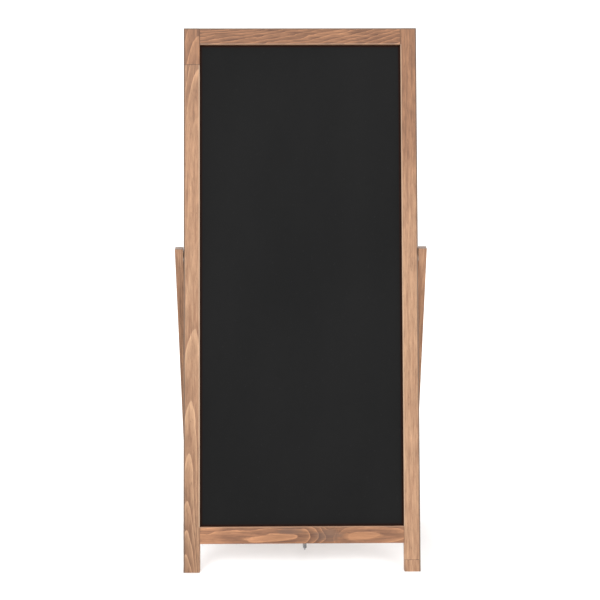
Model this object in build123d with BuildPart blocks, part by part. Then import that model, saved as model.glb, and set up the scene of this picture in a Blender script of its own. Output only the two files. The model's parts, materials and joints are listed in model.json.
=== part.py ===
"""Free-standing menu chalkboard easel: a tall framed board that leans back on a pair of folding rear legs.

The board frame and the leg frame share one pivot line through both stiles. Each frame has a plane of its own,
at the middle of its stock: local X runs to the right, local Y up along the wood from the floor and local Z out
of the front face. The origin is on the floor, midway between the front and rear feet, with the board facing -Y.
"""

from build123d import *
import os
from math import acos, atan2, cos, degrees, hypot, radians, sin

os.makedirs("parts", exist_ok=True)

# Board frame
stile_length = 1220.0
frame_width = 527.0
stile_width = 36.0
rail_width = 37.5
stock_depth = 18.0
bottom_rail_clear = 61.0  # floor end of the stiles to the underside of the bottom rail
edge_ease = 1.2
end_ease = 0.6
lean = 12.0  # degrees from upright, for the board frame one way and the leg frame the other

# Rabbet, panel and strips
rabbet_width = 8.0
rabbet_depth = 11.0
panel_thickness = 4.0
panel_clearance = 1.0
strip_width = 10.0
strip_clearance = 0.3
strip_round = 3.0
brad_radius = 0.7
brad_length = 18.0
brad_head_radius = 1.2
brad_head_thickness = 0.5
brads_along_side = 4
brads_along_end = 3
brad_end_margin = 60.0

# Rail dowels
dowel_radius = 4.0
dowel_length = 50.0
dowel_end_gap = 1.0
dowel_glue_gap = 0.1
dowel_edge_margin = 7.75  # outer edge of the rail to its first dowel
dowel_spacing = 16.0

# Finger joints in the stiles
finger_count = 4
finger_length = 9.0
top_block_length = 83.0
foot_block_length = 24.0

# Leg frame
leg_width = 18.0
leg_gap = 1.0  # between leg and stile, filled by the washer
pivot_distance = 697.0  # floor to pivot, along the wood
leg_over_pivot = 26.0
crossbar_thickness = 12.0
crossbar_width = 36.0
fold_stop = 0.1  # degrees left when the crossbar rests against the stiles

# Pivot hardware
bolt_radius = 3.0
bolt_head_radius = 5.5
bolt_head_thickness = 3.5
bolt_head_sink = 1.0
bolt_engagement = 12.0
hex_key_across = 4.0
hex_key_depth = 2.2
running_clearance = 0.05
head_clearance = 0.7
insert_radius = 5.0
insert_length = 15.0
insert_hole_spare = 1.0
washer_radius = 8.0
washer_clearance = 0.2

# Crossbar screws
screw_radius = 2.0
screw_head_radius = 4.0
screw_head_height = 2.3
screw_length = 26.0
screw_spacing = 18.0
screw_recess_width = 0.9
screw_recess_depth = 1.4

# Screw eyes and chain
wire_radius = 1.3
eye_ring_radius = 3.0
eye_neck = 5.5
eye_shank = 12.0
eye_offset = 6.0  # to the right of the middle
link_pitch_wanted = 13.4
link_inner_width = 3.4
link_gap = 0.1
chain_spare = 1.0  # slack left in the chain when the legs stand open

fit_gap = 0.05

# Frame planes
pivot_reach = pivot_distance * sin(radians(lean))
pivot_height = pivot_distance * cos(radians(lean))
frame_up = Vector(0, sin(radians(lean)), cos(radians(lean)))
frame_front = Vector(0, -cos(radians(lean)), sin(radians(lean)))
leg_up = Vector(0, -sin(radians(lean)), cos(radians(lean)))
leg_front = Vector(0, -cos(radians(lean)), -sin(radians(lean)))
frame_plane = Plane(origin=(0, -pivot_reach, 0), x_dir=(1, 0, 0), z_dir=frame_front)
leg_plane = Plane(origin=(0, pivot_reach, 0), x_dir=(1, 0, 0), z_dir=leg_front)
right = Vector(1, 0, 0)

# Places worked out from the driving dimensions
half_depth = stock_depth / 2
foot_spare = stock_depth
opening_width = frame_width - 2 * stile_width
stile_centre = (frame_width - stile_width) / 2
opening_bottom = bottom_rail_clear + rail_width
opening_top = stile_length - rail_width
opening_height = opening_top - opening_bottom
opening_middle = (opening_top + opening_bottom) / 2
panel_front = rabbet_depth - half_depth
strip_thickness = rabbet_depth - panel_thickness
strip_middle = strip_thickness / 2 - half_depth
recess_width = opening_width + 2 * rabbet_width
recess_height = opening_height + 2 * rabbet_width
leg_centre = frame_width / 2 + leg_gap + leg_width / 2
leg_outside = leg_centre + leg_width / 2
dowel_heights = {
    "bottom": [bottom_rail_clear + dowel_edge_margin + i * dowel_spacing for i in range(2)],
    "top": [stile_length - dowel_edge_margin - i * dowel_spacing for i in range(2)],
}


def spread(count, length):
    """Places evenly along a length, about its middle, clear of its ends."""
    run = length - 2 * brad_end_margin
    return [run * (i / (count - 1) - 0.5) for i in range(count)]


def peg(point, direction, radius, length, mode=Mode.ADD):
    """A cylinder from a point along a direction, in the part that is being built."""
    with Locations(Plane(origin=point, z_dir=direction).location):
        Cylinder(radius, length, align=(Align.CENTER, Align.CENTER, Align.MIN), mode=mode)


def drill(point, direction, radius, depth):
    peg(point, direction, radius, depth, mode=Mode.SUBTRACT)


def in_frame(x, y, z):
    return frame_plane.from_local_coords(Vector(x, y, z))


def in_legs(x, y, z):
    return leg_plane.from_local_coords(Vector(x, y, z))


def brad_places():
    """Where each brad starts, on the inner side of its strip, and the way it is driven."""
    side_start = recess_width / 2 - strip_clearance - strip_width
    end_start = recess_height / 2 - strip_clearance - strip_width
    places = []
    for side in (-1, 1):
        for y in spread(brads_along_side, opening_height):
            places.append((in_frame(side * side_start, opening_middle + y, strip_middle), right * side))
        for x in spread(brads_along_end, opening_width):
            places.append((in_frame(x, opening_middle + side * end_start, strip_middle), frame_up * side))
    return places


def drill_brads():
    for point, direction in brad_places():
        drill(point, direction, brad_radius + fit_gap, brad_length + strip_clearance)


def save(builder, name):
    builder.part.label = name
    export_step(builder.part, f"parts/{name}.step")


# Stiles


def whole_stile(side):
    """A side post before its finger joint: eased stock, stopped rabbet, dowel holes and insert hole."""
    with BuildPart() as post:
        with BuildSketch(frame_plane.offset(-half_depth)):
            with Locations((side * stile_centre, (stile_length - foot_spare) / 2)):
                Rectangle(stile_width, stile_length + foot_spare)
        extrude(amount=stock_depth)
        fillet(post.edges().filter_by(Axis((0, 0, 0), frame_up)), edge_ease)
        chamfer(post.faces().sort_by(Axis((0, 0, 0), frame_up))[-1].edges(), end_ease)
        with BuildSketch(frame_plane.offset(-half_depth)):
            with Locations((side * (opening_width + rabbet_width) / 2, opening_middle)):
                Rectangle(rabbet_width, recess_height)
        extrude(amount=rabbet_depth, mode=Mode.SUBTRACT)
        for height in dowel_heights["bottom"] + dowel_heights["top"]:
            start = in_frame(side * opening_width / 2, height, 0)
            drill(start, right * side, dowel_radius + dowel_glue_gap, dowel_length / 2 + dowel_end_gap)
        pivot = in_frame(side * frame_width / 2, pivot_distance, 0)
        drill(pivot, right * -side, insert_radius + fit_gap, insert_length + insert_hole_spare)
        drill_brads()
        split(bisect_by=Plane.XY, keep=Keep.TOP)
    return post


def finger_region(side, joint_height, far_height):
    """The space on one side of a finger joint, with fingers that show on the stile's edges."""
    pitch = stock_depth / finger_count
    toward = 1 if far_height > joint_height else -1
    edge_plane = Plane(
        origin=in_frame(side * stile_centre - stile_width, 0, 0), x_dir=frame_up, z_dir=right
    )
    teeth = []
    for i in range(finger_count):
        teeth.append((joint_height, i * pitch - half_depth))
        teeth.append((joint_height - toward * finger_length, (i + 0.5) * pitch - half_depth))
    teeth.append((joint_height, half_depth))
    outline = [(joint_height, -stock_depth), *teeth, (joint_height, stock_depth)]
    outline += [(far_height, stock_depth), (far_height, -stock_depth)]
    with BuildPart() as region:
        with BuildSketch(edge_plane):
            with BuildLine():
                Polyline(*outline, close=True)
            make_face()
        extrude(amount=2 * stile_width)
    return region.part


left_whole = whole_stile(-1)
left_region = finger_region(-1, stile_length - top_block_length, stile_length + stock_depth)
right_whole = whole_stile(1)
right_region = finger_region(1, foot_block_length, -foot_spare)

with BuildPart() as left_stile:
    add(left_whole.part)
    add(left_region, mode=Mode.SUBTRACT)
save(left_stile, "left_stile")

with BuildPart() as left_stile_top_block:
    add(left_whole.part)
    add(left_region, mode=Mode.INTERSECT)
save(left_stile_top_block, "left_stile_top_block")

with BuildPart() as right_stile:
    add(right_whole.part)
    add(right_region, mode=Mode.SUBTRACT)
save(right_stile, "right_stile")

with BuildPart() as right_stile_foot_block:
    add(right_whole.part)
    add(right_region, mode=Mode.INTERSECT)
save(right_stile_foot_block, "right_stile_foot_block")


# Rails and their dowels


def rail(middle, inner_edge, dowels):
    """A rail between the stiles, with its rabbet along the opening and two dowel holes in each end."""
    toward_opening = 1 if inner_edge > middle else -1
    with BuildPart() as bar:
        with BuildSketch(frame_plane.offset(-half_depth)):
            with Locations((0, middle)):
                Rectangle(opening_width, rail_width)
        extrude(amount=stock_depth)
        fillet(bar.edges().filter_by(Axis.X), edge_ease)
        with BuildSketch(frame_plane.offset(-half_depth)):
            with Locations((0, inner_edge - toward_opening * rabbet_width / 2)):
                Rectangle(opening_width, rabbet_width)
        extrude(amount=rabbet_depth, mode=Mode.SUBTRACT)
        for side in (-1, 1):
            for height in dowels:
                start = in_frame(side * opening_width / 2, height, 0)
                drill(start, right * -side, dowel_radius + dowel_glue_gap, dowel_length / 2 + dowel_end_gap)
        drill_brads()
    return bar


eye_start = in_frame(eye_offset, bottom_rail_clear, 0)

top_rail = rail(stile_length - rail_width / 2, opening_top, dowel_heights["top"])
save(top_rail, "top_rail")

bottom_rail = rail(bottom_rail_clear + rail_width / 2, opening_bottom, dowel_heights["bottom"])
with bottom_rail:
    drill(eye_start, frame_up, wire_radius + fit_gap, eye_shank + fit_gap)
save(bottom_rail, "bottom_rail")

with BuildPart() as rail_dowels:
    for side in (-1, 1):
        for height in dowel_heights["bottom"] + dowel_heights["top"]:
            start = in_frame(side * (opening_width - dowel_length) / 2, height, 0)
            peg(start, right * side, dowel_radius, dowel_length)
    chamfer(rail_dowels.edges().filter_by(GeomType.CIRCLE), end_ease)
save(rail_dowels, "rail_dowels")


# Panel and retaining strips

with BuildPart() as chalkboard_panel:
    with BuildSketch(frame_plane.offset(panel_front)):
        with Locations((0, opening_middle)):
            Rectangle(recess_width - 2 * panel_clearance, recess_height - 2 * panel_clearance)
    extrude(amount=-panel_thickness)
save(chalkboard_panel, "chalkboard_panel")


def strip(centre, width, height, run, inward):
    """A retaining strip in the rabbet, rounded on the rear corner that faces the opening."""
    with BuildPart() as bead:
        with BuildSketch(frame_plane.offset(-half_depth)):
            with Locations(centre):
                Rectangle(width, height)
        extrude(amount=strip_thickness)
        rear_edges = bead.faces().sort_by(Axis((0, 0, 0), frame_front))[0].edges()
        long_edges = rear_edges.filter_by(Axis((0, 0, 0), run))
        fillet(long_edges.sort_by(Axis((0, 0, 0), inward))[-1], strip_round)
        drill_brads()
    return bead


strip_reach = recess_width / 2 - strip_clearance
strip_rise = recess_height / 2 - strip_clearance
side_strip_height = 2 * (strip_rise - strip_width) - strip_clearance
for side, name in ((-1, "retaining_strip_left"), (1, "retaining_strip_right")):
    centre = (side * (strip_reach - strip_width / 2), opening_middle)
    save(strip(centre, strip_width, side_strip_height, frame_up, right * -side), name)
for side, name in ((-1, "retaining_strip_bottom"), (1, "retaining_strip_top")):
    centre = (0, opening_middle + side * (strip_rise - strip_width / 2))
    save(strip(centre, 2 * strip_reach, strip_width, right, frame_up * -side), name)

with BuildPart() as strip_brads:
    for point, direction in brad_places():
        peg(point, direction, brad_radius, brad_length)
        peg(point, direction * -1, brad_head_radius, brad_head_thickness)
save(strip_brads, "strip_brads")


# Pivot hardware: insert in the stile, washer in the gap, bolt through the leg


def pivot_insert(side):
    face = in_frame(side * frame_width / 2, pivot_distance, 0)
    with BuildPart() as insert:
        peg(face, right * -side, insert_radius, insert_length)
        drill(face, right * -side, bolt_radius + running_clearance, insert_length)
    return insert


def pivot_washer(side):
    face = in_frame(side * frame_width / 2, pivot_distance, 0)
    with BuildPart() as washer:
        peg(face, right * side, washer_radius, leg_gap)
        drill(face, right * side, bolt_radius + washer_clearance, leg_gap)
    return washer


def pivot_bolt(side):
    head_top = in_frame(side * (leg_outside - bolt_head_sink), pivot_distance, 0)
    shank_end = frame_width / 2 - bolt_engagement
    reach = leg_outside - bolt_head_sink - shank_end
    with BuildPart() as bolt:
        peg(head_top, right * -side, bolt_radius, reach)
        peg(head_top, right * -side, bolt_head_radius, bolt_head_thickness)
        with BuildSketch(Plane(origin=head_top, z_dir=right * side)):
            RegularPolygon(hex_key_across / 2, 6, major_radius=False)
        extrude(amount=-hex_key_depth, mode=Mode.SUBTRACT)
    return bolt


for side, name in ((-1, "left"), (1, "right")):
    save(pivot_insert(side), f"threaded_insert_{name}")
    save(pivot_washer(side), f"pivot_washer_{name}")
    save(pivot_bolt(side), f"pivot_bolt_{name}")


# Chain geometry, in the plane x = eye_offset, as (y, z) pairs

hook_drop = eye_neck + 2 * eye_ring_radius
hook_depth = half_depth + crossbar_thickness / 2  # middle of the crossbar behind the middle of the legs
lean_sin, lean_cos = sin(radians(lean)), cos(radians(lean))
front_hook_height = bottom_rail_clear - hook_drop
rear_hook_height = front_hook_height + (2 * link_pitch_wanted + hook_depth * lean_sin) / lean_cos
crossbar_bottom = rear_hook_height + hook_drop
fold_angle = 2 * lean - fold_stop

front_hook = in_frame(eye_offset, front_hook_height, 0)
rear_hook = in_legs(eye_offset, rear_hook_height, -hook_depth)
span = (rear_hook - front_hook).length
span_slope = atan2(rear_hook.Z - front_hook.Z, rear_hook.Y - front_hook.Y)
link_pairs = round(span / (2 * link_pitch_wanted) - 0.5)
link_count = 2 * link_pairs + 1
chain_length = span + chain_spare
link_pitch = (chain_length + 2 * wire_radius) / link_count
link_inner_length = link_pitch + link_gap
link_half = link_inner_length / 2 + wire_radius  # link centre to the wire at its end
end_reach = link_pitch / 2 - wire_radius  # link centre to the wire that it hooks round
middle_link = link_pairs - 1


def sag_half_angle():
    """Half of the turn of the arc whose length is the chain's and whose chord is the span."""
    half = (6 * (1 - span / chain_length)) ** 0.5
    for _ in range(8):
        half -= (sin(half) - half * span / chain_length) / (cos(half) - span / chain_length)
    return half


sag_half = sag_half_angle()


def along_chain(distance):
    """(y, z) on the sagging chain that far from the front hook, and the slope there, in radians."""
    radius = chain_length / (2 * sag_half)
    start = span_slope - sag_half
    slope = start + 2 * sag_half * distance / chain_length
    y = front_hook.Y + radius * (sin(slope) - sin(start))
    z = front_hook.Z - radius * (cos(slope) - cos(start))
    return y, z, slope


def link_plane(index):
    """The plane of a chain link: every other link stands on edge, starting and ending with one that does."""
    y, z, slope = along_chain(end_reach + index * link_pitch)
    along = Vector(0, cos(slope), sin(slope))
    normal = right if index % 2 == 0 else right.cross(along)
    return Plane(origin=(eye_offset, y, z), x_dir=along, z_dir=normal)


def make_link():
    bend_radius = link_inner_width / 2 + wire_radius
    straight = link_inner_length - link_inner_width
    with BuildPart() as link:
        for side in (-1, 1):
            start = Vector(-straight / 2, side * bend_radius, 0)
            peg(start, Vector(1, 0, 0), wire_radius, straight)
            with BuildSketch(Plane(origin=(side * straight / 2, 0, 0), x_dir=(0, 1, 0), z_dir=(side, 0, 0))):
                with Locations((bend_radius, 0)):
                    Circle(wire_radius)
            revolve(axis=Axis((side * straight / 2, 0, 0), (0, 0, 1)), revolution_arc=-180 * side)
    return link.part


one_link = make_link()


def chain_links(first, count):
    with BuildPart() as links:
        with Locations(*[link_plane(first + i).location for i in range(count)]):
            add(one_link)
    return links


save(chain_links(0, middle_link), "chain_front_links")
save(chain_links(middle_link, 1), "chain_middle_link")
save(chain_links(middle_link + 1, link_count - middle_link - 1), "chain_rear_links")


def screw_eye(hook, up, front):
    """A screw eye whose ring faces the front, with the bottom of the ring at the hook point."""
    ring_centre = hook + up * eye_ring_radius
    with BuildPart() as eye:
        with Locations(Plane(origin=ring_centre, x_dir=right, z_dir=front).location):
            Torus(eye_ring_radius, wire_radius)
        peg(ring_centre + up * eye_ring_radius, up, wire_radius, eye_neck + eye_shank)
    return eye


save(screw_eye(front_hook, frame_up, frame_front), "front_screw_eye")
save(screw_eye(rear_hook, leg_up, leg_front), "rear_screw_eye")


# Leg frame


def crossbar_screw_places():
    middle = crossbar_bottom + crossbar_width / 2
    rear = -half_depth - crossbar_thickness
    heights = (middle - screw_spacing / 2, middle + screw_spacing / 2)
    return [in_legs(side * leg_centre, height, rear) for side in (-1, 1) for height in heights]


def screw_shape(spare, mode):
    """The crossbar screws, or with a spare the holes for them: countersunk head and shank."""
    for point in crossbar_screw_places():
        peg(point, leg_front, screw_radius + spare, screw_length + spare, mode=mode)
        with Locations(Plane(origin=point, z_dir=leg_front).location):
            Cone(
                screw_head_radius + spare,
                screw_radius + spare,
                screw_head_height,
                align=(Align.CENTER, Align.CENTER, Align.MIN),
                mode=mode,
            )


def leg(side):
    length = pivot_distance + leg_over_pivot
    with BuildPart() as post:
        with BuildSketch(leg_plane.offset(-half_depth)):
            with Locations((side * leg_centre, (length - foot_spare) / 2)):
                Rectangle(leg_width, length + foot_spare)
        extrude(amount=stock_depth)
        fillet(post.edges().filter_by(Axis((0, 0, 0), leg_up)), edge_ease)
        chamfer(post.faces().sort_by(Axis((0, 0, 0), leg_up))[-1].edges(), end_ease)
        outside = in_legs(side * leg_outside, pivot_distance, 0)
        drill(outside, right * -side, bolt_radius + running_clearance, leg_width)
        drill(outside, right * -side, bolt_head_radius + head_clearance, bolt_head_sink + bolt_head_thickness)
        screw_shape(fit_gap, Mode.SUBTRACT)
        split(bisect_by=Plane.XY, keep=Keep.TOP)
    return post


save(leg(-1), "left_leg")
save(leg(1), "right_leg")

with BuildPart() as crossbar:
    with BuildSketch(leg_plane.offset(-half_depth)):
        with Locations((0, crossbar_bottom + crossbar_width / 2)):
            Rectangle(2 * leg_outside, crossbar_width)
    extrude(amount=-crossbar_thickness)
    fillet(crossbar.edges().filter_by(Axis.X), edge_ease)
    screw_shape(fit_gap, Mode.SUBTRACT)
    drill(rear_hook + leg_up * hook_drop, leg_up, wire_radius + fit_gap, eye_shank + fit_gap)
save(crossbar, "crossbar")

with BuildPart() as crossbar_screws:
    screw_shape(0, Mode.ADD)
    for point in crossbar_screw_places():
        with Locations(Plane(origin=point, x_dir=right, z_dir=leg_front).location):
            for turn in (0, 90):
                Box(
                    screw_head_radius,
                    screw_recess_width,
                    2 * screw_recess_depth,
                    rotation=(0, 0, turn),
                    mode=Mode.SUBTRACT,
                )
save(crossbar_screws, "crossbar_screws")


# How the chain turns when the legs fold, as multiples of the fold


def turned(point, centre_y, centre_z, angle):
    y, z = point[0] - centre_y, point[1] - centre_z
    return centre_y + y * cos(angle) - z * sin(angle), centre_z + y * sin(angle) + z * cos(angle)


def chain_folding():
    """Turns of the front links, middle link and rear links that close the chain when the legs are folded."""
    fold = radians(fold_angle)
    y, z, slope = along_chain(end_reach + middle_link * link_pitch)
    first = (y - link_half * cos(slope), z - link_half * sin(slope))
    second = (y + link_half * cos(slope), z + link_half * sin(slope))
    front = (front_hook.Y, front_hook.Z)
    rear = (rear_hook.Y, rear_hook.Z)
    front_reach = hypot(first[0] - front[0], first[1] - front[1])
    rear_reach = hypot(second[0] - rear[0], second[1] - rear[1])
    rear_folded = turned(rear, 0, pivot_height, -fold)
    apart_y = rear_folded[0] - 2 * link_half - front[0]
    apart_z = rear_folded[1] - front[1]
    apart = hypot(apart_y, apart_z)
    share = (front_reach**2 + apart**2 - rear_reach**2) / (2 * front_reach * apart)
    front_slope = atan2(apart_z, apart_y) - acos(share)
    if sin(front_slope) > 0 or cos(front_slope) > 0.7:
        front_slope = atan2(apart_z, apart_y) + acos(share)
    first_folded = (front[0] + front_reach * cos(front_slope), front[1] + front_reach * sin(front_slope))
    second_folded = (first_folded[0] + 2 * link_half, first_folded[1])
    rear_slope = atan2(second_folded[1] - rear_folded[1], second_folded[0] - rear_folded[0])
    front_turn = front_slope - atan2(first[1] - front[1], first[0] - front[0])
    rear_turn = rear_slope - atan2(second[1] - rear[1], second[0] - rear[0])
    return {
        "first_hinge": (eye_offset, *first),
        "second_hinge": (eye_offset, *second),
        "front_turn": degrees(front_turn),
        "middle_turn": degrees(-slope - front_turn),
        "rear_turn": degrees(rear_turn) + fold_angle,
    }


print(f"pivot at z {pivot_height:.3f}, fold {fold_angle:.2f} degrees, span {span:.2f}, {link_count} links")
print(f"front hook {front_hook}, rear hook {rear_hook}, sag half angle {degrees(sag_half):.2f}")
print("chain folding", chain_folding())
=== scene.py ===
"""The looks of the menu chalkboard easel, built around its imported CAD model."""

import json
import math

import bpy
from mathutils import Matrix, Vector

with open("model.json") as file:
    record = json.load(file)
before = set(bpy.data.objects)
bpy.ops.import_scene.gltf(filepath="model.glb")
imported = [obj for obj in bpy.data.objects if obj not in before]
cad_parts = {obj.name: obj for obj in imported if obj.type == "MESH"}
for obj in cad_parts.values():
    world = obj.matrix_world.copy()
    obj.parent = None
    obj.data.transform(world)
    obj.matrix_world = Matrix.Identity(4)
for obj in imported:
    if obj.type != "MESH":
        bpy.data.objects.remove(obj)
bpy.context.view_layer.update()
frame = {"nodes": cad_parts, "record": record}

# The board frame leans back by LEAN and the rear legs lean forward by as much. They meet at the pivot, which
# is PIVOT_DISTANCE up along each, so their feet stand PIVOT_REACH in front of it and behind it.
LEAN = math.radians(12.0)
PIVOT_DISTANCE = 0.697
PIVOT_REACH = PIVOT_DISTANCE * math.sin(LEAN)

# The board frame, measured in its own plane from its middle line and up from its foot.
OUTER_EDGE = 0.2635
INNER_EDGE = 0.2275
FRAME_TOP = 1.220
OPENING = (0.0985, 1.1825)
OPENING_MIDDLE = (OPENING[0] + OPENING[1]) / 2
OPENING_REACH = (OPENING[1] - OPENING[0]) / 2
LEFT_STILE_JOINT = 1.137
RIGHT_STILE_JOINT = 0.0240


# ---------------------------------------------------------------- shader building

LEAST_RISE = 1e-6


def grey(level):
    return (level, level, level, 1.0)


class Shader:
    """A node material under construction."""

    def __init__(self, name):
        self.material = bpy.data.materials.new(name)
        self.material.use_nodes = True
        self.tree = self.material.node_tree
        self.tree.nodes.clear()
        self.surface = self.tree.nodes.new("ShaderNodeBsdfPrincipled")
        output = self.tree.nodes.new("ShaderNodeOutputMaterial")
        self.tree.links.new(self.surface.outputs["BSDF"], output.inputs["Surface"])
        self.texture = self.tree.nodes.new("ShaderNodeTexCoord")

    def put(self, socket, value):
        """Sets a socket to a constant, or links another node's output to it."""
        if isinstance(value, bpy.types.NodeSocket):
            self.tree.links.new(value, socket)
        else:
            socket.default_value = value

    def constant(self, name, value):
        """Sets one of the shader's own sockets."""
        self.surface.inputs[name].default_value = value

    def math(self, operation, *values, clamp=False):
        node = self.tree.nodes.new("ShaderNodeMath")
        node.operation = operation
        node.use_clamp = clamp
        for socket, value in zip(node.inputs, values):
            self.put(socket, value)
        return node.outputs[0]

    def scaled(self, value, rise, base):
        """base where value is 0, and rise more than that where it is 1."""
        return self.math("MULTIPLY_ADD", value, rise, base)

    def vary(self, noise, amount, base, clamp=False):
        """Raises and lowers base by a noise, which swings about a half."""
        return self.math("MULTIPLY_ADD", self.math("SUBTRACT", noise, 0.5), amount, base, clamp=clamp)

    def apart(self, value, centre):
        """How far a value lies from centre."""
        return self.math("ABSOLUTE", self.math("SUBTRACT", value, centre))

    def blend(self, share, first, second):
        """A colour that goes from first to second as share goes from 0 to 1."""
        node = self.tree.nodes.new("ShaderNodeMix")
        node.data_type = "RGBA"
        self.put(node.inputs["Factor"], share)
        self.put(node.inputs["A"], first)
        self.put(node.inputs["B"], second)
        return node.outputs["Result"]

    def brighten(self, colour, factor):
        node = self.tree.nodes.new("ShaderNodeHueSaturation")
        self.put(node.inputs["Color"], colour)
        self.put(node.inputs["Value"], factor)
        return node.outputs["Color"]

    def spread(self, value, low, high, to_low=0.0, to_high=1.0):
        """Maps low..high smoothly to to_low..to_high, and holds outside."""
        node = self.tree.nodes.new("ShaderNodeMapRange")
        node.interpolation_type = "SMOOTHSTEP"
        self.put(node.inputs["Value"], value)
        node.inputs["From Min"].default_value = low
        node.inputs["From Max"].default_value = high
        node.inputs["To Min"].default_value = to_low
        node.inputs["To Max"].default_value = to_high
        return node.outputs["Result"]

    def spread_evenly(self, value, low, high):
        """Maps low..high in a straight line to 0..1, and holds outside."""
        node = self.tree.nodes.new("ShaderNodeMapRange")
        self.put(node.inputs["Value"], value)
        node.inputs["From Min"].default_value = low
        node.inputs["From Max"].default_value = high
        return node.outputs["Result"]

    def ramp(self, value, stops):
        """A grey ramp through (position, brightness) stops."""
        node = self.tree.nodes.new("ShaderNodeValToRGB")
        elements = node.color_ramp.elements
        while len(elements) < len(stops):
            elements.new(0.5)
        for element, (position, level) in zip(elements, stops):
            element.position = position
            element.color = grey(level)
        self.put(node.inputs["Fac"], value)
        return node.outputs["Color"]

    def curve(self, value, points):
        """A smooth curve through (value, result) points."""
        low, high = points[0][0], points[-1][0]
        levels = [level for place, level in points]
        base, rise = min(levels), max(max(levels) - min(levels), LEAST_RISE)
        node = self.tree.nodes.new("ShaderNodeFloatCurve")
        line = node.mapping.curves[0]
        while len(line.points) < len(points):
            line.points.new(0.5, 0.5)
        for point, (place, level) in zip(line.points, points):
            point.location = ((place - low) / (high - low), (level - base) / rise)
        node.mapping.update()
        self.put(node.inputs["Value"], self.spread_evenly(value, low, high))
        return self.scaled(node.outputs[0], rise, base)

    def combine(self, x, y, z):
        node = self.tree.nodes.new("ShaderNodeCombineXYZ")
        for socket, value in zip(node.inputs, (x, y, z)):
            self.put(socket, value)
        return node.outputs[0]

    def split(self, vector):
        node = self.tree.nodes.new("ShaderNodeSeparateXYZ")
        self.put(node.inputs[0], vector)
        return node.outputs["X"], node.outputs["Y"], node.outputs["Z"]

    def turned(self, vector, angle):
        """A vector turned about the x axis."""
        node = self.tree.nodes.new("ShaderNodeVectorRotate")
        node.rotation_type = "X_AXIS"
        self.put(node.inputs["Vector"], vector)
        node.inputs["Angle"].default_value = angle
        return node.outputs[0]

    def noise(self, vector, scale=1.0, detail=2.0, roughness=0.5):
        node = self.tree.nodes.new("ShaderNodeTexNoise")
        self.put(node.inputs["Vector"], vector)
        node.inputs["Scale"].default_value = scale
        node.inputs["Detail"].default_value = detail
        node.inputs["Roughness"].default_value = roughness
        return node.outputs["Fac"]

    def stretched_noise(self, place, scales, detail):
        """Noise with its own scale in each of the three directions."""
        scaled = [self.math("MULTIPLY", value, scale) for value, scale in zip(place, scales)]
        return self.noise(self.combine(*scaled), detail=detail)

    def finish(self, colour, roughness, height, depth):
        """Links up the shader, with a bump that is depth metres high."""
        self.put(self.surface.inputs["Base Color"], colour)
        self.put(self.surface.inputs["Roughness"], roughness)
        bump = self.tree.nodes.new("ShaderNodeBump")
        bump.inputs["Distance"].default_value = depth
        self.put(bump.inputs["Height"], height)
        self.put(self.surface.inputs["Normal"], bump.outputs["Normal"])
        return self.material


def board_coordinates(s, rear):
    """Where a point lies on a leaning frame: across it, behind the middle of its stock, and up along it."""
    foot = -PIVOT_REACH if rear else PIVOT_REACH
    x, y, z = s.split(s.turned(s.texture.outputs["Object"], -LEAN if rear else LEAN))
    depth = s.math("ADD", y, foot * math.cos(LEAN))
    height = s.math("ADD", z, PIVOT_REACH * math.sin(LEAN))
    return x, depth, height


def board_normal(s, rear):
    """Which way a surface faces on a leaning frame: sideways, backwards and upwards."""
    return s.split(s.turned(s.texture.outputs["Normal"], -LEAN if rear else LEAN))


# ---------------------------------------------------------------- stained pine

LATEWOOD = (0.52, 0.315, 0.188, 1.0)
EARLYWOOD = (0.245, 0.125, 0.070, 1.0)
DEEP_LATEWOOD = (0.43, 0.208, 0.105, 1.0)
DEEP_EARLYWOOD = (0.140, 0.064, 0.037, 1.0)
ISLAND = (0.40, 0.190, 0.092, 1.0)
END_GRAIN = (0.20, 0.130, 0.092, 1.0)
# Pale opening edges: partly wear, partly a painted highlight of the eased edge catching the light.
WORN_AND_LIT_EDGE = (0.50, 0.36, 0.255, 1.0)
EDGE_DARKENING = (0.110, 0.074, 0.055, 1.0)
SEAM = (0.075, 0.042, 0.028, 1.0)
KNOT_HALO = (0.135, 0.085, 0.064, 1.0)

# How light the wood is across one ring, from 0 to 1, and on average: dark early in the year and light at its
# end.
RING_PROFILE = ((0.0, 0.25), (0.04, 0.0), (0.45, 0.20), (0.78, 0.42), (0.90, 0.70), (0.96, 1.0), (1.0, 0.95))
RING_MEAN = 0.32
LATEWOOD_SHARE = RING_MEAN + 0.10

# Noises drawn out along the grain, from coarse to fine: their scales across and along it, per metre. A shift
# sets a noise apart from the others of the same piece.
WARP = dict(fine=55.0, long=16.0)
PATCH = dict(fine=90.0, long=34.0, shift=6.0)
STREAK = dict(fine=280.0, long=22.0, shift=3.0)
PORES = dict(fine=620.0, long=95.0, detail=1.0)
FIBRE = dict(fine=1300.0, long=85.0, roughness=0.65)

# The scale of the noise that gives each ring its own shade.
YEAR_SCALE = 3.7

# How much each noise changes the share of latewood, or the brightness.
YEAR_SHARE = 0.35
STREAK_SHARE = 1.25
FIBRE_TONE = 0.62
PATCH_TONE = 0.44
PORE_TONE = -0.24

# How much rings, fibre and pores add to the height of the bump.
RING_RELIEF = 0.5
FIBRE_RELIEF = 0.6
PORE_RELIEF = -0.5

# How many rings a full swing of the warp is worth, for a wave of 1.
WAVE_GAIN = 6.0

# Marks are strongest out to their core and gone at their rim. Those are shares of the mark's reach, or for a
# knot of its reach squared. The fade at the ends of a band's span is in metres.
KNOT_CORE = 0.2
KNOT_RIM = 1.2
KNOT_RAGGEDNESS = 2.6
BAND_CORE = 0.35
SPAN_FADE = 0.001
LINE_CORE = 0.9
LINE_RIM = 1.7
LINE_WANDER = 1.4
LINE_STRENGTH = 0.8


def slope(start, end, low=0.0, high=FRAME_TOP):
    """A straight line from start to end over a piece's length."""
    return ((low, start), (high, end))


def as_points(value):
    """A number as a level line, and a tuple of points as it is."""
    return value if isinstance(value, tuple) else slope(value, value)


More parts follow.
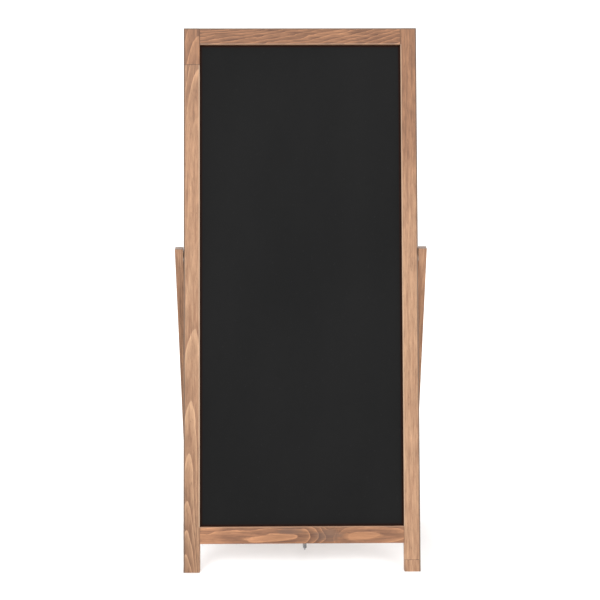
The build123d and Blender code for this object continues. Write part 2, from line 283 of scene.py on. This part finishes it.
class Grain:
    """One piece of pine: where its growth rings run, and how light or dark it is.

    heart     the line across the face where the rings lie flattest
    rings     how many rings that line has crossed
    arch      half the width of an arch one ring below its tip
    spacing   how far apart the rings are, into the depth
    contrast  how much early and late wood differ
    tone      how bright the wood is
    stain     how deep the stain has gone, from 0 to 1
    wave      how much the rings waver
    sway      the width that the heart wavers over
    rear      whether it is on the leg frame, which leans forward
    upright   whether the grain runs up the easel, or across it
    bands     edges and seams: (axis, centre, reach, shade, strength, span along the piece or None)
    lines     joints across the piece: (place along it, reach)
    knots     patches: ((along, across), (reach along, reach across), shade, strength)
    seed      what sets its noises apart from another piece's

    heart, rings, arch, contrast, tone and stain are numbers, or tuples of (place along the piece, value) that
    a smooth curve runs through. Lengths and places are in metres."""

    def __init__(self, heart, rings, arch, seed, spacing=0.003, contrast=1.0, tone=1.0, stain=0.0, wave=0.12,
                 sway=0.004, rear=False, upright=True, bands=(), lines=(), knots=()):
        self.heart, self.rings, self.arch = as_points(heart), as_points(rings), as_points(arch)
        self.contrast, self.tone, self.stain = as_points(contrast), as_points(tone), as_points(stain)
        self.seed, self.spacing, self.wave, self.sway = seed, spacing, wave, sway
        self.rear, self.upright = rear, upright
        self.bands, self.lines, self.knots = bands, lines, knots


def grain_noise(s, place, seed, fine, long, shift=0.0, detail=3.0, roughness=0.5):
    """Noise drawn out along the grain."""
    across, depth, along = place
    stretched = s.combine(
        s.math("MULTIPLY", across, fine),
        s.math("MULTIPLY", depth, fine),
        s.scaled(along, long, seed + shift),
    )
    return s.noise(stretched, detail=detail, roughness=roughness)


def years_grown(s, grain, place):
    """How many rings lie between the heart of the tree and a point of the piece."""
    across, depth, along = place
    warp = s.math("SUBTRACT", grain_noise(s, place, grain.seed, **WARP), 0.5)
    aside = s.math("SUBTRACT", across, s.curve(along, grain.heart))
    aside = s.math("DIVIDE", s.scaled(warp, grain.sway, aside), s.curve(along, grain.arch))
    years = s.math("MULTIPLY_ADD", aside, aside, s.curve(along, grain.rings))
    years = s.scaled(depth, 1.0 / grain.spacing, years)
    return s.scaled(warp, WAVE_GAIN * grain.wave, years)


def draw_knots(s, grain, place, patch, colour):
    """Ragged oval patches."""
    across, _, along = place
    for centre, reach, shade, strength in grain.knots:
        away = [s.math("DIVIDE", s.math("SUBTRACT", value, middle), size)
                for value, middle, size in zip((along, across), centre, reach)]
        away = s.math("ADD", s.math("MULTIPLY", away[0], away[0]), s.math("MULTIPLY", away[1], away[1]))
        away = s.vary(patch, KNOT_RAGGEDNESS, away)
        mask = s.spread(away, low=KNOT_CORE, high=KNOT_RIM, to_low=strength, to_high=0.0)
        colour = s.blend(mask, colour, shade)
    return colour


def draw_bands(s, grain, place, facing, colour):
    """Soft straight bands along edges and seams, on the front and back faces only."""
    across, _, along = place
    for axis, centre, reach, shade, strength, span in grain.bands:
        away = s.apart({"across": across, "along": along}[axis], centre)
        mask = s.spread(away, low=reach * BAND_CORE, high=reach, to_low=strength, to_high=0.0)
        mask = s.math("MULTIPLY", mask, facing)
        if span:
            beyond = s.apart(along, (span[0] + span[1]) / 2)
            half = (span[1] - span[0]) / 2
            inside = s.spread(beyond, low=half - SPAN_FADE, high=half + SPAN_FADE, to_low=1.0, to_high=0.0)
            mask = s.math("MULTIPLY", mask, inside)
        colour = s.blend(mask, colour, shade)
    return colour


def draw_lines(s, grain, place, streak, colour):
    """Fine broken lines across the piece, all the way round it."""
    along = place[2]
    for centre, reach in grain.lines:
        away = s.scaled(streak, reach * LINE_WANDER, s.apart(along, centre))
        mask = s.spread(away, low=reach * LINE_CORE, high=reach * LINE_RIM, to_low=LINE_STRENGTH, to_high=0.0)
        colour = s.blend(mask, colour, SEAM)
    return colour


def stained_pine(name, grain):
    """Sawn, stained and varnished pine. The rings are shells: a face that only grazes them shows arches, and
    a face that cuts across them shows straight lines. Dense latewood takes little stain and stays light."""
    s = Shader(name)
    x, depth, z = board_coordinates(s, grain.rear)
    along, across = (z, x) if grain.upright else (x, z)
    place = (across, depth, along)

    years = years_grown(s, grain, place)
    ring = s.ramp(s.math("FRACT", years), RING_PROFILE)
    year_tone = s.noise(s.combine(s.math("FLOOR", years), grain.seed, 0.0), scale=YEAR_SCALE, detail=0.0)
    fibre = grain_noise(s, place, grain.seed, **FIBRE)
    streak = grain_noise(s, place, grain.seed, **STREAK)
    patch = grain_noise(s, place, grain.seed, **PATCH)
    pores = s.spread(grain_noise(s, place, grain.seed, **PORES), low=0.66, high=0.74)

    ring_share = s.math("SUBTRACT", ring, RING_MEAN)
    share = s.scaled(ring_share, s.curve(along, grain.contrast), LATEWOOD_SHARE)
    share = s.vary(year_tone, YEAR_SHARE, share)
    share = s.vary(streak, STREAK_SHARE, share, clamp=True)
    light = s.blend(share, EARLYWOOD, LATEWOOD)
    deep = s.blend(share, DEEP_EARLYWOOD, DEEP_LATEWOOD)
    colour = s.blend(s.curve(along, grain.stain), light, deep)
    level = s.vary(fibre, FIBRE_TONE, s.curve(along, grain.tone))
    level = s.vary(patch, PATCH_TONE, level)
    level = s.scaled(pores, PORE_TONE, level)
    colour = s.brighten(colour, level)

    sideways, backwards, upwards = board_normal(s, grain.rear)
    facing = s.spread(s.math("ABSOLUTE", backwards), low=0.35, high=0.75)
    colour = draw_knots(s, grain, place, patch, colour)
    colour = draw_bands(s, grain, place, facing, colour)
    colour = draw_lines(s, grain, place, streak, colour)
    cut = s.spread(s.math("ABSOLUTE", upwards if grain.upright else sideways), low=0.55, high=0.9)
    colour = s.blend(cut, colour, s.brighten(END_GRAIN, s.scaled(ring, rise=0.6, base=0.7)))

    height = s.scaled(ring, RING_RELIEF, s.math("MULTIPLY", fibre, FIBRE_RELIEF))
    height = s.scaled(pores, PORE_RELIEF, height)
    roughness = s.scaled(fibre, rise=0.16, base=0.44)
    s.constant("Specular IOR Level", 0.35)
    return s.finish(colour, roughness, height, depth=0.00022)


def dark_edge(axis, place, reach=0.0040, strength=0.85):
    """A darker band along an edge."""
    return (axis, place, reach, EDGE_DARKENING, strength, None)


def pale_edge(axis, place, reach, strength, span=None):
    """A pale band along an edge of the board's opening: wear, and a painted highlight of its eased edge."""
    return (axis, place, reach, WORN_AND_LIT_EDGE, strength, span)


def butt_seams(reach, strength):
    """The dark lines where a rail's two ends meet the stiles."""
    return tuple(("along", end, reach, SEAM, strength, None) for end in (-INNER_EDGE, INNER_EDGE))


RAIL_SPAN = dict(low=-0.30, high=0.30)
FOOT_SPAN = dict(low=0.0, high=0.03)

PINE = {
    "left_stile": Grain(
        heart=((0.0, -0.2590), (0.0395, -0.2583), (0.0925, -0.2575), (0.1554, -0.2555), (0.2572, -0.2515),
               (0.3816, -0.2475), (0.5312, -0.2415), (0.76, -0.2290), (0.98, -0.2330), (1.137, -0.2290)),
        rings=((0.0, -0.75), (0.0395, 0.0), (0.0925, 1.0), (0.1554, 2.0), (0.2572, 3.0),
               (0.3816, 4.0), (0.5312, 5.0), (0.76, 6.05), (0.98, 6.75), (1.137, 8.1)),
        arch=((0.0, 0.0150), (0.1554, 0.0155), (0.2572, 0.0180), (0.3816, 0.0225), (0.5312, 0.0300),
              (0.76, 0.0290), (1.137, 0.0210)),
        seed=1.3,
        wave=0.05,
        contrast=((0.0, 1.0), (0.25, 0.90), (0.50, 0.62), (0.62, 0.40), (0.75, 0.30), (1.02, 0.30),
                  (1.08, 0.65), (1.137, 0.75)),
        tone=((0.0, 0.86), (0.12, 0.88), (0.22, 0.95), (0.5, 1.0), (0.8, 1.03), (1.0, 0.98), (1.137, 0.88)),
        stain=((0.0, 0.25), (0.30, 0.10), (0.50, 0.0), (0.80, 0.22), (1.137, 0.40)),
        bands=(pale_edge("across", -INNER_EDGE, reach=0.0028, strength=0.85, span=OPENING),
               dark_edge("across", -OUTER_EDGE, reach=0.0044)),
        lines=((LEFT_STILE_JOINT, 0.0012),),
    ),
    "left_stile_top_block": Grain(
        heart=((1.137, -0.2300), (1.22, -0.2270)),
        rings=((1.137, 0.2), (1.203, 1.0), (1.22, 1.3)),
        arch=0.0300,
        seed=4.1,
        wave=0.04,
        contrast=0.62,
        tone=slope(0.98, 0.95, low=1.13),
        stain=0.80,
        bands=(dark_edge("across", -OUTER_EDGE), dark_edge("along", FRAME_TOP)),
        lines=((LEFT_STILE_JOINT, 0.0010),),
    ),
    "right_stile": Grain(
        heart=slope(0.140, 0.146),
        rings=slope(0.0, 3.0),
        arch=0.0185,
        seed=7.7,
        contrast=0.40,
        tone=((0.0, 1.08), (0.10, 1.10), (0.22, 1.07), (0.6, 1.03), (0.80, 1.00), (0.90, 0.94),
              (0.99, 0.93), (1.22, 0.88)),
        stain=((0.0, 0.10), (0.60, 0.0), (0.80, 0.15), (0.90, 0.45), (1.00, 0.75), (1.22, 0.85)),
        bands=(pale_edge("across", INNER_EDGE, reach=0.0028, strength=0.60, span=OPENING),
               dark_edge("across", OUTER_EDGE, reach=0.0044), dark_edge("along", FRAME_TOP)),
        lines=((RIGHT_STILE_JOINT, 0.0010),),
    ),
    "right_stile_foot_block": Grain(
        heart=0.20,
        rings=slope(0.0, 0.4, **FOOT_SPAN),
        arch=0.016,
        seed=9.2,
        contrast=0.5,
        tone=slope(1.08, 1.12, **FOOT_SPAN),
        stain=0.15,
        bands=(dark_edge("across", INNER_EDGE, reach=0.0030, strength=0.5),
               dark_edge("across", OUTER_EDGE, reach=0.0044)),
        lines=((RIGHT_STILE_JOINT, 0.0008),),
    ),
    "top_rail": Grain(
        heart=((-0.23, 1.120), (0.23, 1.135)),
        rings=((-0.23, 4.0), (-0.05, 1.8), (0.10, -1.2), (0.23, -4.6)),
        arch=0.0350,
        seed=2.9,
        upright=False,
        wave=0.24,
        contrast=0.8,
        tone=0.91,
        stain=1.0,
        bands=(pale_edge("across", OPENING[1], reach=0.0026, strength=0.5), dark_edge("across", FRAME_TOP),
               *butt_seams(reach=0.0016, strength=0.7)),
    ),
    "bottom_rail": Grain(
        heart=((-0.2275, 0.0715), (-0.137, 0.0705), (-0.075, 0.0735), (-0.010, 0.0765), (0.031, 0.0790),
               (0.070, 0.0700), (0.125, 0.0775), (0.2275, 0.0800)),
        rings=((-0.2275, 0.65), (-0.137, 0.0), (-0.075, -0.17), (-0.010, 0.0), (0.0193, 1.0), (0.0376, 2.0),
               (0.0532, 3.0), (0.062, 3.2), (0.082, 0.6), (0.098, 0.0), (0.130, -0.16), (0.170, 0.0),
               (0.2275, 0.80)),
        arch=0.0195,
        seed=5.5,
        upright=False,
        wave=0.06,
        sway=0.012,
        contrast=((-0.2275, 0.75), (-0.02, 0.90), (0.045, 1.15), (0.064, 0.50), (0.11, 0.50), (0.2275, 0.65)),
        tone=((-0.2275, 1.24), (-0.13, 1.14), (-0.06, 1.04), (0.02, 0.92), (0.07, 0.86), (0.13, 1.06),
              (0.2275, 0.96)),
        stain=1.0,
        bands=(pale_edge("across", OPENING[0], reach=0.0020, strength=0.45),
               *butt_seams(reach=0.0014, strength=0.6)),
        knots=(((-0.070, 0.0740), (0.060, 0.0090), ISLAND, 0.35),
               ((0.132, 0.0765), (0.044, 0.0090), ISLAND, 0.65),
               ((-0.030, 0.0885), (0.034, 0.0070), KNOT_HALO, 0.45),
               ((0.058, 0.0780), (0.034, 0.0150), KNOT_HALO, 0.50)),
    ),
    "left_leg": Grain(
        heart=slope(-0.21, -0.20), rings=slope(0.0, 4.0), arch=0.024, seed=3.3, rear=True,
        contrast=0.6, tone=0.90, stain=0.35,
    ),
    "right_leg": Grain(
        heart=slope(0.21, 0.20), rings=slope(0.0, 4.0), arch=0.024, seed=6.6, rear=True,
        contrast=0.6, tone=1.04, stain=0.4,
    ),
    "crossbar": Grain(
        heart=slope(0.105, 0.112, **RAIL_SPAN), rings=((-0.30, 3.2), (-0.02, 0.3), (0.30, 4.1)), arch=0.013,
        seed=8.4, rear=True, upright=False, tone=0.95,
    ),
    "retaining_strip_left": Grain(
        heart=slope(-0.29, -0.28), rings=slope(0.0, 5.0), arch=0.020, seed=11.0, contrast=0.6,
    ),
    "retaining_strip_right": Grain(
        heart=slope(0.29, 0.28), rings=slope(0.0, 5.0), arch=0.020, seed=12.0, contrast=0.6,
    ),
    "retaining_strip_top": Grain(
        heart=slope(1.14, 1.15, **RAIL_SPAN), rings=slope(0.0, 3.0, **RAIL_SPAN), arch=0.020, seed=13.0,
        upright=False, contrast=0.6,
    ),
    "retaining_strip_bottom": Grain(
        heart=slope(0.04, 0.05, **RAIL_SPAN), rings=slope(0.0, 3.0, **RAIL_SPAN), arch=0.020, seed=14.0,
        upright=False, contrast=0.6,
    ),
}


# ---------------------------------------------------------------- the other materials

COAT_DARK = (0.0066, 0.0067, 0.0068, 1.0)
COAT_LIGHT = (0.0084, 0.0084, 0.0085, 1.0)
CHALK_DUST = grey(0.08)
# Painted shade for the shadow in the recess between the board and the frame.
GAP_SHADE = (0.0130, 0.0040, 0.0022, 1.0)
HARDBOARD_DARK = (0.105, 0.052, 0.024, 1.0)
HARDBOARD_LIGHT = (0.235, 0.125, 0.062, 1.0)
ZINC_DARK = (0.17, 0.17, 0.18, 1.0)
ZINC_LIGHT = (0.36, 0.36, 0.355, 1.0)
HARDWOOD_DARK = (0.46, 0.31, 0.17, 1.0)
HARDWOOD_LIGHT = (0.66, 0.49, 0.30, 1.0)
PAPER_DARK = grey(0.93)
PAPER_LIGHT = grey(0.95)

DUST_STRENGTH = 0.06
HARDBOARD_RELIEF = 0.5

# Where the painted shade along the rim of the board fades in and is full, before the frame's edge at 0.
RIM_START = -0.0065
RIM_FULL = -0.0030


def chalkboard_coat(name):
    """Matt black blackboard paint on the writing face, with a painted shade along its rim next to the frame
    for the shadow of the recess, and bare brown hardboard on the back and edges."""
    s = Shader(name)
    x, depth, z = board_coordinates(s, rear=False)
    place = s.combine(x, depth, z)
    wipe = s.stretched_noise((x, depth, z), scales=(5.0, 1.0, 2.2), detail=4.0)
    grit = s.noise(place, scale=1400.0, detail=2.0)
    dust = s.spread(s.noise(place, scale=260.0, detail=0.0), low=0.80, high=0.86)
    coat = s.blend(s.spread(wipe, low=0.3, high=0.7), COAT_DARK, COAT_LIGHT)
    coat = s.blend(s.math("MULTIPLY", dust, DUST_STRENGTH), coat, CHALK_DUST)
    # A painted shade along the board's rim, standing in for the shadow in the recess behind the frame.
    past_side = s.math("SUBTRACT", s.math("ABSOLUTE", x), INNER_EDGE)
    past_end = s.math("SUBTRACT", s.apart(z, OPENING_MIDDLE), OPENING_REACH)
    rim = s.spread(s.math("MAXIMUM", past_side, past_end), low=RIM_START, high=RIM_FULL)
    coat = s.blend(rim, coat, GAP_SHADE)

    fibre = s.stretched_noise((x, depth, z), scales=(420.0, 1.0, 300.0), detail=4.0)
    bare = s.blend(fibre, HARDBOARD_DARK, HARDBOARD_LIGHT)
    backwards = board_normal(s, rear=False)[1]
    front = s.spread(s.math("MULTIPLY", backwards, -1.0), low=0.5, high=0.8)
    height = s.math("ADD", grit, s.math("MULTIPLY", fibre, HARDBOARD_RELIEF))
    roughness = s.scaled(grit, rise=0.10, base=0.80)
    s.constant("Specular IOR Level", 0.15)
    return s.finish(s.blend(front, bare, coat), roughness, height, depth=0.00012)


def zinc_plate(name):
    """Dull zinc plating, faintly mottled and scratched."""
    s = Shader(name)
    place = s.texture.outputs["Object"]
    mottle = s.noise(place, scale=700.0, detail=3.0)
    scratch = s.noise(place, scale=3500.0, detail=1.0)
    s.constant("Metallic", 1.0)
    roughness = s.scaled(mottle, rise=0.25, base=0.28)
    return s.finish(s.blend(mottle, ZINC_DARK, ZINC_LIGHT), roughness, scratch, depth=0.00004)


def turned_hardwood(name):
    """Pale dowel rod, with its pores running along it."""
    s = Shader(name)
    place = s.split(s.texture.outputs["Object"])
    streak = s.stretched_noise(place, scales=(40.0, 1400.0, 1400.0), detail=3.0)
    roughness = s.scaled(streak, rise=0.15, base=0.55)
    return s.finish(s.blend(streak, HARDWOOD_DARK, HARDWOOD_LIGHT), roughness, streak, depth=0.0001)


def paper_white(name):
    """Matt white studio paper."""
    s = Shader(name)
    tooth = s.noise(s.texture.outputs["Object"], scale=45.0, detail=3.0)
    s.constant("Specular IOR Level", 0.0)
    return s.finish(s.blend(tooth, PAPER_DARK, PAPER_LIGHT), roughness=0.9, height=tooth, depth=0.0002)


def dress(nodes, record):
    """Gives every CAD node the material of its slot, and each wooden piece its own cut of wood."""
    slots = {part["node"]: part["material_slot"] for part in record["subparts"]}
    shared = {
        "plain_hardwood": turned_hardwood("plain_hardwood"),
        "chalkboard_coat": chalkboard_coat("chalkboard_coat"),
        "zinc_plated_steel": zinc_plate("zinc_plated_steel"),
    }
    for name, piece in nodes.items():
        slot = slots[name]
        material = stained_pine("pine_" + name, PINE[name]) if name in PINE else shared[slot]
        piece.data.materials.clear()
        piece.data.materials.append(material)


# ---------------------------------------------------------------- studio

FLOOR_WIDTH = 14.0
FLOOR_FRONT = -6.0
SWEEP_START = 2.6
SWEEP_RADIUS = 1.6
SWEEP_TOP = 6.0
SWEEP_STEPS = 24

WORLD_STRENGTH = 1.0
LIGHTS = (  # name, place, target, width in metres, watts
    ("key", (-2.2, -3.6, 3.4), (0.0, 0.0, 0.6), 2.4, 96.0),
    ("fill", (2.8, -3.0, 2.0), (0.0, 0.0, 0.6), 2.4, 55.0),
    ("back", (0.0, 2.8, 3.2), (0.0, 1.0, 0.0), 1.8, 40.0),
)

# The camera, as the picture was taken: in front, a little left of the middle, a metre up, looking slightly
# down.
EYE = Vector((-0.026, -2.348, 0.990))
YAW = math.radians(0.58)
PITCH = math.radians(9.74)
ROLL = math.radians(-0.11)
FOCAL_PIXELS = 1049.0
PICTURE_PIXELS = 600.0
SENSOR_MM = 36.0


def make_sweep():
    """A pale paper floor that curves up behind the easel into its backdrop."""
    profile = [(FLOOR_FRONT, 0.0), (SWEEP_START, 0.0)]
    for step in range(1, SWEEP_STEPS + 1):
        turn = math.pi / 2 * step / SWEEP_STEPS
        profile.append((SWEEP_START + SWEEP_RADIUS * math.sin(turn), SWEEP_RADIUS * (1 - math.cos(turn))))
    profile.append((SWEEP_START + SWEEP_RADIUS, SWEEP_TOP))
    points = [(side * FLOOR_WIDTH / 2, y, z) for y, z in profile for side in (-1, 1)]
    faces = [(2 * i, 2 * i + 1, 2 * i + 3, 2 * i + 2) for i in range(len(profile) - 1)]
    mesh = bpy.data.meshes.new("floor_sweep")
    mesh.from_pydata(points, [], faces)
    mesh.shade_smooth()
    mesh.materials.append(paper_white("paper_white"))
    sweep = bpy.data.objects.new("floor_sweep", mesh)
    bpy.context.scene.collection.objects.link(sweep)


def soft_light(name, place, target, width, watts):
    """A round soft light that faces target."""
    data = bpy.data.lights.new(name, "AREA")
    data.shape = "DISK"
    data.size = width
    data.energy = watts
    light = bpy.data.objects.new(name, data)
    light.location = place
    light.rotation_mode = "QUATERNION"
    light.rotation_quaternion = (Vector(target) - Vector(place)).to_track_quat("-Z", "Y")
    bpy.context.scene.collection.objects.link(light)


def light_studio():
    """An even white surround, with a key, a fill and a back light."""
    world = bpy.data.worlds.new("studio")
    world.use_nodes = True
    background = world.node_tree.nodes["Background"]
    background.inputs["Color"].default_value = grey(1.0)
    background.inputs["Strength"].default_value = WORLD_STRENGTH
    bpy.context.scene.world = world
    for light in LIGHTS:
        soft_light(*light)
    bpy.context.scene.view_settings.view_transform = "Standard"


def make_camera():
    """The scene's camera, turned by YAW to the right, PITCH down and ROLL about its own axis."""
    forward = Vector((math.sin(YAW) * math.cos(PITCH), math.cos(YAW) * math.cos(PITCH), -math.sin(PITCH)))
    level = Vector((math.cos(YAW), -math.sin(YAW), 0.0))
    above = level.cross(forward)
    right = level * math.cos(ROLL) + above * math.sin(ROLL)
    up = above * math.cos(ROLL) - level * math.sin(ROLL)
    data = bpy.data.cameras.new("camera")
    data.sensor_width = SENSOR_MM
    data.lens = FOCAL_PIXELS * SENSOR_MM / PICTURE_PIXELS
    camera = bpy.data.objects.new("camera", data)
    turn = Matrix((right, up, -forward)).transposed()
    camera.matrix_world = Matrix.Translation(EYE) @ turn.to_4x4()
    bpy.context.scene.collection.objects.link(camera)
    bpy.context.scene.camera = camera


make_camera()
light_studio()
make_sweep()
dress(frame["nodes"], frame["record"])
